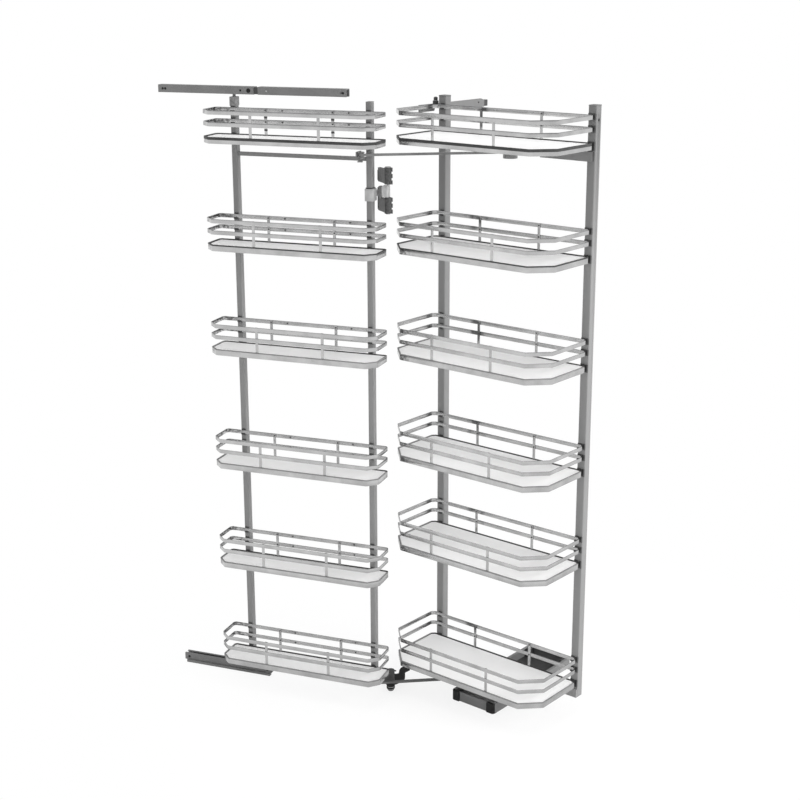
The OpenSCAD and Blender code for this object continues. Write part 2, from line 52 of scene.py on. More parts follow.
# %% [markdown]
# ## Camera
# The picture was taken from the front right and a little above. The lens and
# the place come from fitting a pinhole camera to the tray corners. The camera
# looks down by sixteen degrees and leans by a third of a degree, and a small
# shift centres the frame.

# %% Place the camera
CAM_AT = Vector((2.2860, -3.2414, 2.0045))
CAM_YAW, CAM_PITCH, CAM_ROLL = (math.radians(a) for a in (40.264, 16.471, -0.31))
SENSOR, LENS, SHIFT_X, SHIFT_Y = 36, 67.59, 0.01266, 0.0084


def aim(yaw, pitch, roll):
    """A camera's turning, from its yaw, its tilt down and its roll."""
    ahead = Vector((-math.sin(yaw) * math.cos(pitch), math.cos(yaw) * math.cos(pitch),
                    -math.sin(pitch)))
    right = Vector((math.cos(yaw), math.sin(yaw), 0))
    up = right.cross(ahead)
    side = math.cos(roll) * right + math.sin(roll) * up
    top = math.cos(roll) * up - math.sin(roll) * right
    return Matrix((side, top, -ahead)).transposed().to_4x4()


camera = bpy.data.objects.new("camera", bpy.data.cameras.new("camera"))
camera.data.sensor_width, camera.data.lens = SENSOR, LENS
camera.data.shift_x, camera.data.shift_y = SHIFT_X, SHIFT_Y
camera.data.clip_end = 60
camera.matrix_world = Matrix.Translation(CAM_AT) @ aim(CAM_YAW, CAM_PITCH, CAM_ROLL)
scene.collection.objects.link(camera)
scene.camera = camera
print("camera", round(CAM_AT.length, 2), "m from the middle of the floor")

# %% [markdown]
# ## Node trees without wiring by hand
# A finish is a small formula: some noise, scaled and added to a colour. The
# classes below let such a formula be written as one. `Link` wraps a socket, so
# that `1 - mask * 0.3` adds its Math nodes, and `Tree.node` makes any other
# node from its type, its settings and its sockets.


# %% A socket that does sums
class Link:
    """An output socket that can be added, subtracted, multiplied and compared."""

    def __init__(self, tree, socket):
        self.tree, self.socket = tree, socket

    def maths(self, how, a, b):
        return self.tree.node("ShaderNodeMath", {"operation": how}, {0: a, 1: b})

    def __add__(self, other):
        return self.maths("ADD", self, other)

    def __sub__(self, other):
        return self.maths("SUBTRACT", self, other)

    def __rsub__(self, other):
        return self.maths("SUBTRACT", other, self)

    def __mul__(self, other):
        return self.maths("MULTIPLY", self, other)

    def larger(self, other):
        return self.maths("MAXIMUM", self, other)

    __radd__, __rmul__ = __add__, __mul__


# %% A tree that is filled by one method
class Tree:
    """The nodes of a material or a world."""

    def __init__(self, owner):
        owner.use_nodes = True
        self.nodes, self.links = owner.node_tree.nodes, owner.node_tree.links
        self.nodes.clear()

    def node(self, kind, settings=None, sockets=None, out=0):
        """Adds a node, sets it up, feeds its sockets and returns one output."""
        made = self.nodes.new(kind)
        for name, value in (settings or {}).items():
            if name == "stops":
                ramp = made.color_ramp
                while len(ramp.elements) < len(value):
                    ramp.elements.new(0.5)
                for stop, (at, shade) in zip(ramp.elements, value):
                    stop.position, stop.color = at, (*shade, 1)
            else:
                setattr(made, name, value)
        for name, value in (sockets or {}).items():
            socket = made.inputs[name]
            if isinstance(value, Link):
                self.links.new(value.socket, socket)
            else:
                socket.default_value = value
        return Link(self, made.outputs[out]) if made.outputs else made

    def mix(self, share, a, b):
        """Blends two colours."""
        return self.node("ShaderNodeMix", {"data_type": "RGBA"}, {0: share, 6: a, 7: b}, 2)

    def noise(self, at, size, detail):
        """Soft noise from 0 to 1, with blobs about size metres across."""
        return self.node("ShaderNodeTexNoise", {}, {
            "Vector": at, "Scale": 1 / size, "Detail": detail})

    def spread(self, value, start, end, first, last):
        """Maps start to first and end to last, in a straight line held at both ends."""
        return self.node("ShaderNodeMapRange", {"clamp": True}, {
            0: value, 1: start, 2: end, 3: first, 4: last})

    def fall(self, value, start, end):
        """1 before start, 0 after end, and straight between them."""
        return self.spread(value, start, end, 1.0, 0.0)

    def axis(self, at, which):
        """One coordinate of a point: 0 across, 1 deep, 2 high."""
        return self.node("ShaderNodeSeparateXYZ", {}, {0: at}, which)


OBJECT_OUT = 3  # the Object output of a Texture Coordinate node


def grey(level, tint=0.0):
    """A shader colour from a grey as seen on screen, 0 to 255, a little warm or cool."""
    seen = level / 255
    flat = seen / 12.92 if seen <= 0.04045 else ((seen + 0.055) / 1.055) ** 2.4
    return (flat * (1 + tint), flat, flat * (1 - tint), 1)


print("a middle grey on screen is", round(grey(128)[0], 3), "to the shader")

# %% [markdown]
# ## Finishes
# Every finish is seen from about four metres, so its grain is fine and its
# colour varies only a little. `finish` holds what they share: a base colour
# that wanders between two greys, a roughness that wanders with it, and a bump
# of fine grain. Object coordinates keep the pattern on the piece when it moves.


# %% One recipe for all finishes
def finish(name, low, high, rough, metal=0.0, blob=0.05, grain=0.0006, depth=0.00002,
           stretch=(1, 1, 1), tint=0.0, rough_span=0.12, spec=0.5, painted_light=None):
    """A material whose grey wanders from low to high in blobs of a size."""
    made = bpy.data.materials.new(name)
    t = Tree(made)
    at = t.node("ShaderNodeTexCoord", out=OBJECT_OUT)
    drawn = t.node("ShaderNodeMapping", {}, {"Vector": at, "Scale": stretch})
    cloud = t.noise(drawn, blob, 3)
    fine = t.noise(at, grain, 2)
    colour = t.mix(t.spread(cloud, 0.3, 0.7, 0.0, 1.0), grey(low, tint), grey(high, tint))
    if painted_light:
        colour = painted_light(t, at, colour)
    bump = t.node("ShaderNodeBump", {}, {"Strength": 0.5, "Distance": depth, "Height": fine})
    shader = t.node("ShaderNodeBsdfPrincipled", {}, {
        "Base Color": colour, "Metallic": metal, "IOR": 1.45,
        "Roughness": rough + (cloud - 0.5) * rough_span + (fine - 0.5) * 0.06,
        "Specular IOR Level": spec, "Normal": bump})
    t.node("ShaderNodeOutputMaterial", {}, {"Surface": shader})
    return made


# %% [markdown]
# The tubes are sprayed in a satin grey, with painted shade that makes them
# deeper near the top. The strips are bright plate, which mirrors the room. The
# room can't be known from one picture, so two of its dark reflections are
# painted into the plate's colour: mottling where the strip turns the left
# corner, and one dark stretch of the deep trays' back rails. Places are in metres.

# %% Paint and plate
# Greys for painted shade near the tubes' tops and for painted dark reflections on the plate.
SHADE_GREY, REFLECTED_DARK = grey(112), grey(72)


def painted_shade_high_up(t, at, colour):
    """Painted shade: paint that is a little deeper towards the top of a tube."""
    return t.mix(t.fall(t.axis(at, 2), 1.62, 1.25) * 0.8, colour, SHADE_GREY)


def painted_reflections(left, right, front=None, seam=None):
    """Painted dark reflections: mottling from left to right, up to a front line, and a dark
    stretch from a seam on.
    """
    def painted_light(t, at, colour):
        across, deep = t.axis(at, 0), t.axis(at, 1)
        near = t.fall(across, right, right + 0.02) * t.fall(across, left, left - 0.008)
        if front is not None:
            near = near * t.fall(deep, front, front + 0.004)
        reflected_specks = t.fall(t.noise(at, 0.009, 1), 0.6, 0.42)
        colour = t.mix(near * reflected_specks * 0.72, colour, REFLECTED_DARK)
        if seam is None:
            return colour
        dark = t.fall(across, seam + 0.04, seam + 0.055) * t.fall(across, seam, seam - 0.015)
        at_back = t.fall(deep, -0.06, -0.064)
        cloudy = t.fall(t.noise(at, 0.03, 1), 0.62, 0.42)
        return t.mix(dark * at_back * cloudy * 0.75, colour, REFLECTED_DARK)
    return painted_light


def plate(name, painted_light):
    """Bright plating with its painted dark reflections."""
    return finish(name, 178, 202, 0.22, metal=1.0, blob=0.05, grain=0.0012, depth=0.000008,
                  rough_span=0.1, painted_light=painted_light)


# The tubes' paint carries painted shade towards their tops.
PAINT = finish("satin_grey_paint", 132, 139, 0.42, blob=0.09, stretch=(1, 1, 0.25),
               grain=0.0009, painted_light=painted_shade_high_up)
DARK_PAINT = finish("dark_grey_paint", 112, 122, 0.45, blob=0.05, grain=0.0009)
# Both plates carry painted dark reflections: mottling at the left corner, and on the deep trays
# a dark stretch on the back rails.
DEEP_PLATE = plate("plated_strip", painted_reflections(-0.206, -0.184, front=-0.257, seam=-0.12))
RACK_PLATE = plate("plated_rack_strip", painted_reflections(-0.70, -0.635))
print("paint and plate", len(bpy.data.materials))

# %% Mouldings, castings and small steel
# The dark moulding is partly painted shade and reflection; its lighter copy paints a lighter
# reflection on the lower trays' fronts.
MOULDING_AND_SHADE = finish("dark_edge_moulding_and_shade", 50, 66, 0.5, blob=0.02)
LIT_FRONT_MOULDING = finish("lit_front_moulding", 118, 136, 0.5, blob=0.02)
BOARD = finish("white_board", 240, 245, 0.5, blob=0.12, grain=0.0008, depth=0.00003, tint=0.002)
CAP = finish("slider_cap_grey", 112, 150, 0.4, metal=0.4, blob=0.008, grain=0.001)
CAST = finish("cast_grey", 176, 190, 0.4, metal=0.35, blob=0.012, grain=0.0011, depth=0.00005)
# The ribs' paler cast against the plain cast between them paints the grooves' shade.
PALE_CAST = finish("pale_ribbed_cast", 206, 220, 0.4, metal=0.2, blob=0.012, grain=0.0011,
                   depth=0.00005)
BRIGHT = finish("bright_steel", 178, 206, 0.26, metal=1.0, blob=0.008)
ROD = finish("rod_steel", 120, 138, 0.36, metal=0.6, blob=0.03, grain=0.0007)
# A darker copy of the rod steel for the lower rod: painted shade under the lowest tray.
SHADED_ROD = finish("rod_steel_painted_shade", 84, 98, 0.36, metal=0.3, blob=0.03, grain=0.0007)
BLACK = finish("black_plastic", 60, 74, 0.48, blob=0.015, grain=0.0007, depth=0.00004)
# Black plastic mottled from a darker to a lighter grey in small blobs.
MOTTLED_BLACK = finish("ribbed_black_plastic", 58, 92, 0.5, blob=0.005, grain=0.0007,
                    depth=0.00006)
# Deep black for black parts, and for painted shade behind holes.
BLACK_AND_HOLE_SHADE = finish("deep_black_and_hole_shade", 26, 38, 0.5, blob=0.01, grain=0.0007, spec=0.25)
print("finishes", len(bpy.data.materials))

# %% [markdown]
# ## Stage and light
# The background is plain white paper: camera, glossy and transmission rays see
# a world of strength 1, while diffuse rays get about three quarters, so that
# the soft key light from the right still shapes the tubes. Metal sees a darker
# band high up, which draws the thin dark lines on the strips' top edges.

# %% The world
WHITE = (1, 1, 1, 1)
SKY_LIGHT = 0.76


def who_looks(t):
    """1 for camera, glossy and transmission rays, and 1 for glossy rays alone."""
    rays = t.node("ShaderNodeLightPath").socket.node.outputs
    seen, glossy, clear = (Link(t, rays[name]) for name in (
        "Is Camera Ray", "Is Glossy Ray", "Is Transmission Ray"))
    return seen.larger(glossy.larger(clear)), glossy


world = bpy.data.worlds.new("paper_world")
scene.world = world
w = Tree(world)
looks, mirrored = who_looks(w)
height = w.axis(w.node("ShaderNodeTexCoord"), 2)
band = w.node("ShaderNodeValToRGB", {"stops": [
    (0.0, (1, 1, 1)), (0.56, (1, 1, 1)), (0.64, (0.22, 0.22, 0.23)),
    (0.92, (0.24, 0.24, 0.24)), (1.0, (0.45, 0.45, 0.45))]}, {0: height * 0.5 + 0.5})
sky = w.node("ShaderNodeBackground", {}, {
    "Color": w.mix(mirrored, WHITE, band), "Strength": SKY_LIGHT + (1 - SKY_LIGHT) * looks})
w.node("ShaderNodeOutputWorld", {}, {"Surface": sky})
print("the world lights with", SKY_LIGHT, "and is seen at 1")

# %% [markdown]
# The floor is part glow, which keeps it white, and part diffuse paper, which
# keeps the unit's faint shadow. The glow takes over away from the unit. Glossy
# rays see the floor a little greyer close by, so that the lowest strips keep
# some contrast.

# %% The floor's paper
PAPER, DUSK = (0.93, 0.93, 0.93, 1), (0.42, 0.42, 0.42, 1)
GLOW_NEAR = 0.84
paper = bpy.data.materials.new("paper")
p = Tree(paper)
looks, mirrored = who_looks(p)
away = p.node("ShaderNodeVectorMath", {"operation": "LENGTH"}, {
    0: p.node("ShaderNodeTexCoord", out=OBJECT_OUT)}, 1)
glow_share = GLOW_NEAR + p.spread(away, 0.35, 1.1, 0.0, 1 - GLOW_NEAR)
tone = p.mix(p.fall(away, 0.5, 1.6) * mirrored * 0.42, WHITE, DUSK)
flat = p.node("ShaderNodeBsdfDiffuse", {}, {"Color": PAPER})
glow = p.node("ShaderNodeEmission", {}, {"Color": tone, "Strength": 1.0})
both = p.node("ShaderNodeMixShader", {}, {0: looks * glow_share, 1: flat, 2: glow})
p.node("ShaderNodeOutputMaterial", {}, {"Surface": both})
print("the floor glows with", GLOW_NEAR, "under the unit")


# %% The floor and two lamps
def plain_object(name, bm, materials):
    """Turns a bmesh into an object at the origin, smooth but for its sharp edges."""
    mesh = bpy.data.meshes.new(name)
    bm.to_mesh(mesh)
    bm.free()
    mesh.shade_smooth()
    mesh.set_sharp_from_angle(angle=math.radians(38))
    for m in materials:
        mesh.materials.append(m)
    made = bpy.data.objects.new(name, mesh)
    scene.collection.objects.link(made)
    return made


def lamp(name, at, towards, size, power):
    """A square soft light at a place, turned to a point."""
    light = bpy.data.lights.new(name, "AREA")
    light.shape, light.size, light.energy = "SQUARE", size, power
    made = bpy.data.objects.new(name, light)
    scene.collection.objects.link(made)
    turn = (Vector(towards) - Vector(at)).to_track_quat("-Z", "Y").to_matrix().to_4x4()
    made.matrix_world = Matrix.Translation(Vector(at)) @ turn
    made.visible_glossy = False


ground = bmesh.new()
bmesh.ops.create_grid(ground, x_segments=1, y_segments=1, size=9)
plain_object("floor", ground, [paper])
lamp("key", (4.6, 0.6, 2.6), (0, -0.1, 0.8), 2.6, 185)
lamp("overhead", (0.4, -0.6, 4.8), (0, -0.2, 0.8), 2.4, 60)
print("lamps", len(bpy.data.lights))

# %% [markdown]
# ## Soft edges on the CAD pieces
# Sheet steel, castings and mouldings never end in a knife edge. A CAD node's
# mesh can't be changed, so a copy stands in for it: its triangles are merged
# and dissolved back into flat faces, and a narrow bevel catches the light.


# %% Copy a node and soften it
def settle(made, body, node=None):
    """Ties a piece to its body and hides the node it stands for."""
    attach(made, body)
    if node:
        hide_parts(node)


def soften(node, body, material, width, slot, dark_end=None, base=0):
    """A copy of a node with edges bevelled by a width in millimetres.

    dark_end is an x in metres: end faces beyond it are black, a painted shade
    line where the arm meets the tube. base is a height in millimetres that the
    copy doesn't reach below.
    """
    bm = bmesh.new()
    bm.from_mesh(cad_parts[node].data)
    bmesh.ops.remove_doubles(bm, verts=bm.verts, dist=0.01 * MM)
    bmesh.ops.dissolve_limit(bm, angle_limit=math.radians(1), verts=bm.verts, edges=bm.edges,
                             delimit={"NORMAL"})
    for v in bm.verts:
        v.co.z = max(v.co.z, base * MM)
    for f in bm.faces:
        f.material_index = int(dark_end is not None and f.normal.x > 0.9
                               and f.calc_center_median().x > dark_end)
    made = plain_object(node + "_soft", bm, [material, BLACK])
    edge = made.modifiers.new("edge", "BEVEL")
    edge.width, edge.segments, edge.limit_method = width * MM, 2, "ANGLE"
    edge.angle_limit = math.radians(40)
    edge.use_clamp_overlap = True
    settle(made, body, node)


# %% Which nodes are softened
# The link arm's end faces past ARM_END are black: a painted shade line where the arm meets the
# tube.
ARM_END, RAIL_BASE = 0.2, 7.5
SOFT = [
    ("runner_channel", "cabinet_fixings", DARK_PAINT, 0.4, "dark_steel"),
    ("runner_front", "cabinet_fixings", DARK_PAINT, 0.6, "grey_steel"),
    ("runner_caps", "cabinet_fixings", BLACK_AND_HOLE_SHADE, 0.8, "black_plastic"),
    ("runner_stops", "cabinet_fixings", BLACK, 0.8, "black_plastic"),
    ("guide_rail", "cabinet_fixings", DARK_PAINT, 0.6, "dark_steel"),
    ("guide_rail_end", "cabinet_fixings", BLACK, 0.8, "black_plastic"),
    ("hinge_block_upper", "cabinet_fixings", MOTTLED_BLACK, 0.6, "black_plastic"),
    ("hinge_block_lower", "cabinet_fixings", MOTTLED_BLACK, 0.6, "black_plastic"),
    ("hinge_pin", "cabinet_fixings", BRIGHT, 0.4, "bright_steel"),
    ("pivot_plate", "cabinet_fixings", BLACK_AND_HOLE_SHADE, 0.6, "black_plastic"),
    ("link_arm", "inner_frame", PAINT, 0.6, "grey_steel", ARM_END),
    ("base_beam", "inner_frame", PAINT, 0.6, "grey_steel"),
    ("carriage", "inner_frame", DARK_PAINT, 0.6, "dark_steel"),
    ("roller_bracket", "inner_frame", PAINT, 0.5, "cast_grey"),
    ("guide_roller", "guide_roller", BLACK, 0.5, "black_plastic"),
    ("rack_bars", "door_rack", PAINT, 0.8, "grey_steel"),
    ("rack_hinge_lower", "door_rack", BLACK, 0.5, "dark_steel"),
    ("rack_sliders", "door_rack", CAP, 0.5, "cast_grey"),
    ("rod_upper", "link_rod_upper", ROD, 0.6, "bright_steel"),
    ("rod_lower", "link_rod_lower", SHADED_ROD, 0.6, "bright_steel"),
    ("door_rail_upper", "door_rail_upper", DARK_PAINT, 0.4, "dark_steel"),
    ("door_rail_joiner", "door_rail_upper", BLACK, 0.5, "black_plastic"),
    ("door_rail_second", "door_rail_upper", DARK_PAINT, 0.4, "dark_steel"),
    ("door_rail_lower", "door_rail_lower", DARK_PAINT, 0.4, "dark_steel", None, RAIL_BASE),
]
for row in SOFT:
    soften(*row)
print("softened", len(SOFT), "nodes")

# %% [markdown]
# ## Places
# The deep trays lie square to the cabinet. The rack's pieces are drawn in the
# rack's own frame, with x along the rack and the origin on the swing axis, and
# one matrix turns them into place, as the hinge does. Numbers are millimetres.


# %% Where each unit stands
def shifted(x, y):
    """A move along the floor, in millimetres."""
    return Matrix.Translation(Vector((x, y, 0)) * MM)


LEVEL = Matrix.Identity(4)
AXIS = shifted(-233, -270)
RACK = AXIS @ Matrix.Rotation(math.radians(-160.8), 4, "Z")
DEEP = dict(
    body="inner_frame", prefix="", plate=DEEP_PLATE, place=shifted(-253, -262),
    w=506, d=210, cut=50, back_cut=10, bend=8,
    tops=(1573, 1288.5, 1003, 718, 457.5, 105), studs=())
SHALLOW = dict(
    body="door_rack", prefix="rack_", plate=RACK_PLATE,
    place=RACK @ shifted(472.5, 138) @ Matrix.Rotation(math.pi, 4, "Z"),
    w=485, d=99, cut=26, back_cut=6, bend=8,
    tops=(1573, 1291, 1007, 684, 391, 94), studs=((195, 64), (382, 64), (195, 34), (382, 34)))
print("trays", len(DEEP["tops"]), "deep and", len(SHALLOW["tops"]), "shallow")

# %% [markdown]
# ## Building blocks
# Most small parts are blocks and pins with softened edges. One helper rounds
# chosen edges with the bevel operator, and the others build on it. All of them
# draw in millimetres, and `into_place` scales and turns the whole piece once.

# %% Ease, add, block and stud
UP, ALONG, RIGHT = Vector((0, 0, 1)), Vector((0, 1, 0)), Vector((1, 0, 0))
SHARP = 1  # radians between two faces, past which their edge is eased


def ease(part, edges, width, segments=2):
    """Rounds edges by a width."""
    bmesh.ops.bevel(part, geom=edges, offset=width, offset_type="OFFSET", affect="EDGES",
                    segments=segments, profile=0.5, material=-1)


def sharp_edges(part):
    """The edges at which a part turns by more than SHARP."""
    return [e for e in part.edges if e.calc_face_angle(0) > SHARP]


def add(bm, part, material=0, front=None, depth=0):
    """Puts a finished part into a larger bmesh; its front may have another finish."""
    for f in part.faces:
        at_back = front is None or f.calc_center_median().y > depth
        f.material_index = material if at_back else front
    held = bpy.data.meshes.new("held")
    part.to_mesh(held)
    part.free()
    bm.from_mesh(held)
    bpy.data.meshes.remove(held)


def cube(part, lo, hi):
    """A plain box between two corners."""
    bmesh.ops.create_cube(part, size=1, matrix=Matrix.Translation((lo + hi) / 2)
                          @ Matrix.Diagonal((*(hi - lo), 1)))


def block(bm, lo, hi, edge, material=0):
    """A block between two corners with all its edges rounded."""
    part = bmesh.new()
    cube(part, Vector(lo), Vector(hi))
    ease(part, part.edges[:], edge)
    add(bm, part, material)


def stud(bm, at, axis, radius, length, rim, material=0, sides=16):
    """A round pin about its middle, along an axis, with softened rims."""
    part = bmesh.new()
    turn = axis.to_track_quat("Z", "Y").to_matrix().to_4x4()
    bmesh.ops.create_cone(part, cap_ends=True, segments=sides, radius1=radius, radius2=radius,
                          depth=length)
    ease(part, sharp_edges(part), rim)
    bmesh.ops.transform(part, matrix=Matrix.Translation(at) @ turn, verts=part.verts)
    add(bm, part, material)


def into_place(bm, place):
    """Scales a bmesh from millimetres and moves it to its place."""
    bmesh.ops.scale(bm, vec=(MM, MM, MM), verts=bm.verts)
    bmesh.ops.transform(bm, matrix=place, verts=bm.verts)


print("edges that turn past", round(math.degrees(SHARP)), "degrees are eased")

# %% [markdown]
# ## Trays of bent strip
# Each tray is bent from flat strip: a rim with a ledge for the board, two
# rails above it and four short posts. A flat outline with its corners bevelled
# round is the bending plan. Inset makes it a ring, extrude gives the ring its
# height, and a small bevel rounds the strip's edges, which is what shows as a
# bright and a dark line along plated strip.

# %% A ring of strip
HALF_CORNER = math.radians(22.5)  # half of the turn at each of the eight corners


def bent_outline(unit, z):
    """A flat face in a tray's outline, with its eight corners rounded by their bends."""
    w, d, f, b, bend = (unit[k] for k in ("w", "d", "cut", "back_cut", "bend"))
    plan = [(f, 0), (w - f, 0), (w, f), (w, d - b), (w - b, d), (b, d), (0, d - b), (0, f)]
    part = bmesh.new()
    verts = [part.verts.new((x, y, z)) for x, y in plan]
    part.faces.new(verts)
    wide = bend * math.tan(HALF_CORNER)
    tight = min(bend, b) * math.tan(HALF_CORNER)
    for group, reach in (((0, 1, 2, 7), wide), ((3, 4, 5, 6), tight)):
        bmesh.ops.bevel(part, geom=[verts[i] for i in group], offset=reach,
                        offset_type="OFFSET", affect="VERTICES", segments=5, profile=0.5,
                        material=-1)
    return part


def ring(bm, unit, inside, thick, z0, z1, edge, material=0, front=None):
    """A ring of strip from z0 to z1, drawn in from a tray's outline."""
    part = bent_outline(unit, z0)
    for depth, keep_inner in ((inside, True), (thick, False)):
        if depth == 0:
            continue
        inner = part.faces[:]
        outer = bmesh.ops.inset_region(part, faces=inner, thickness=depth, use_boundary=True,
                                       use_even_offset=True)["faces"]
        bmesh.ops.delete(part, geom=outer if keep_inner else inner, context="FACES")
    up = bmesh.ops.extrude_face_region(part, geom=part.faces[:])["geom"]
    raised = [g for g in up if isinstance(g, bmesh.types.BMVert)]
    bmesh.ops.translate(part, vec=(0, 0, z1 - z0), verts=raised)
    bmesh.ops.recalc_face_normals(part, faces=part.faces)
    ease(part, sharp_edges(part), edge)
    add(bm, part, material, front, unit["d"] * 0.7)


# %% [markdown]
# The rim carries a dark edge moulding that hides the gap between the strip and
# the board. Its dark is partly the moulding and partly painted shade of that
# gap and a painted dark reflection of the rim's top, so it stands taller on
# the highest trays, and on the lower trays its front is lighter, a painted
# reflection. Small rivets hold each back post to the rails, and they show as
# dark dots. The back posts of the rack's two upper trays also have two dark
# bands each. The trays of a unit are alike otherwise, so one function makes
# them at six heights.

# %% Sizes of a tray
STRIP, RIM_H, RAIL_H, MID_RISE, TOP_RISE = 2, 16, 11, 39.5, 69.5
RIM_SET = 0.3                         # how far the rim lies inside the outline
LEDGE_W, LEDGE_TOP, LEDGE_BASE = 8, 11.5, 13
LIP_W, LIP_LAP, TOP_LIP_LAP = 3.9, 2, 6
POST_W, POST_GAP = 8, 190
UPPER_TRAYS, TOP_TRAY = 1200, 1500    # heights that part the trays by their look
DARK, DOT, PALE = 1, 2, 3             # a tray's finishes after its plate
BANDS = ((13, 5), (46, 6))            # height over the rim's top, and how tall
print("a tray stands", RIM_H + TOP_RISE, "mm tall")


# %% Posts and rivets
def posts(bm, unit, top):
    """Four posts, with rivets and bands on the two at the back."""
    for x in (-1, 1):
        for y in (STRIP - 0.1, unit["d"] - 2 * STRIP + 0.1):
            mid = unit["w"] / 2 + x * POST_GAP / 2
            block(bm, (mid - POST_W / 2, y, top - RIM_H + 1),
                  (mid + POST_W / 2, y + STRIP, top + TOP_RISE), 0.6)
            if y < STRIP:
                continue
            for rise in (MID_RISE, TOP_RISE):
                stud(bm, Vector((mid, y + STRIP / 2, top + rise - RAIL_H / 2)), ALONG,
                     2.1, 2 * STRIP + 1.2, 0.5, DOT)
            if unit is SHALLOW and top > UPPER_TRAYS:
                for lift, tall in BANDS:
                    block(bm, (mid - POST_W / 2 - 0.3, y - 0.4, top + lift - tall / 2),
                          (mid + POST_W / 2 + 0.3, y + STRIP + 0.4, top + lift + tall / 2),
                          0.3, DOT)


# %% Make the twelve trays
def tray(unit, top, name, node):
    """One tray with its rim top at a height, in millimetres."""
    bm = bmesh.new()
    upper = top > UPPER_TRAYS
    lap = TOP_LIP_LAP if top > TOP_TRAY else LIP_LAP
    ring(bm, unit, RIM_SET, STRIP, top - RIM_H, top, 0.7)
    ring(bm, unit, STRIP - RIM_SET, LEDGE_W, top - LEDGE_BASE, top - LEDGE_TOP, 0.2)
    # The dark lip: painted shade of the gap and a painted dark reflection of the rim's top,
    # taller on the top tray; lower trays get a painted lighter front.
    ring(bm, unit, 0, LIP_W, top - lap, top + (1.2 if upper else 0.5), 0.35, DARK,
         DARK if upper else PALE)
    for rise in (MID_RISE, TOP_RISE):
        ring(bm, unit, 0, STRIP, top + rise - RAIL_H, top + rise, 0.75)
    posts(bm, unit, top)
    for x, lift in unit["studs"]:
        stud(bm, Vector((x, unit["d"] - STRIP, top + lift)), ALONG, 2.4, 2.4, 0.5, DOT)
    into_place(bm, unit["place"])
    made = plain_object(name, bm, [unit["plate"], MOULDING_AND_SHADE, BLACK, LIT_FRONT_MOULDING])
    settle(made, unit["body"], node)
    return made


for unit in (DEEP, SHALLOW):
    for i, top in enumerate(unit["tops"], 1):
        piece = tray(unit, top, f"{unit['prefix']}tray_{i}", f"{unit['prefix']}basket_{i}")
print("one tray", len(piece.data.polygons), "faces")

# %% [markdown]
# ## Boards
# The boards are moulded in white, 10 mm thick with eased edges. The CAD
# outline is right, so they are softened copies too.

# %% Make the boards
for unit in (DEEP, SHALLOW):
    for i in range(1, 7):
        soften(f"{unit['prefix']}panel_{i}", unit["body"], BOARD, 0.8, "panel")
print("boards", 2 * i)

# %% [markdown]
# ## Uprights
# The uprights are welded square tube with rounded corners. The corner's curve
# is where the light face turns into the dark one, so it needs real geometry: a
# box with its four long edges bevelled. A boolean cuts the small hole.

# %% Rounded tubes
WALL, OPEN_DEPTH, CAP_SINK, HOLE_R, DRILL = 1.6, 12, 0.4, 3.8, 6


def drilled(made, at):
    """The mesh of an object with a small hole through its right wall, at a point."""
    drill = bmesh.new()
    turn = RIGHT.to_track_quat("Z", "Y").to_matrix().to_4x4()
    bmesh.ops.create_cone(drill, cap_ends=True, segments=24, radius1=HOLE_R * MM,
                          radius2=HOLE_R * MM, depth=DRILL * MM,
                          matrix=Matrix.Translation(Vector(at) * MM) @ turn)
    cutter = plain_object("cutter", drill, [PAINT])
    cut = made.modifiers.new("hole", "BOOLEAN")
    cut.operation, cut.object, cut.solver = "DIFFERENCE", cutter, "EXACT"
    graph = bpy.context.evaluated_depsgraph_get()
    mesh = bpy.data.meshes.new_from_object(made.evaluated_get(graph))
    made.modifiers.clear()
    bpy.data.objects.remove(cutter)
    return mesh


def upright(node, body, place, lo, hi, radius, hole=None):
    """A square tube between two corners in millimetres, with rounded corners."""
    bm = bmesh.new()
    cube(bm, Vector(lo), Vector(hi))
    long = [e for e in bm.edges if abs(e.verts[0].co.z - e.verts[1].co.z) > 1]
    ease(bm, long, radius, 4)
    ends = [f for f in bm.faces if abs(f.normal.z) > 0.9]
    bmesh.ops.inset_individual(bm, faces=ends, thickness=WALL, use_even_offset=True)
    for f in ends:
        sink = OPEN_DEPTH if f.normal.z < 0 else -CAP_SINK
        bmesh.ops.translate(bm, vec=(0, 0, sink), verts=f.verts)
    into_place(bm, place)
    made = plain_object(node + "_tube", bm, [PAINT])
    if hole:
        made.data = drilled(made, hole)
    settle(made, body, node)


# %% Make the four uprights
BASE, HEAD, RACK_HEAD = 57, 1663, 1666
HOLE_AT = (254.5, -38, 1629)
upright("upright_left", "inner_frame", LEVEL, (-241, -50, BASE), (-217, -26, HEAD), 2.6)
upright("upright_right", "inner_frame", LEVEL, (230.5, -50, BASE), (254.5, -26, HEAD), 2.6,
        HOLE_AT)
upright("rack_upright_right", "door_rack", RACK, (30, 17, BASE), (46, 37, RACK_HEAD), 2)
upright("rack_upright_left", "door_rack", RACK, (414, 17, BASE), (430, 37, RACK_HEAD), 2)
soften("upright_plugs", "inner_frame", DARK_PAINT, 0.8, "dark_steel")
print("uprights", HEAD - BASE, "and", RACK_HEAD - BASE, "mm long")

# %% [markdown]
# ## Clips
# Black moulded clips sit between the trays and the uprights, one at the rim
# and one at each rail. Each hugs its strip: a back plate a little taller than
# the strip, and a hook below it. On the deep trays the clip by the right
# upright goes on round the tray's end, where it shows as a black edge.


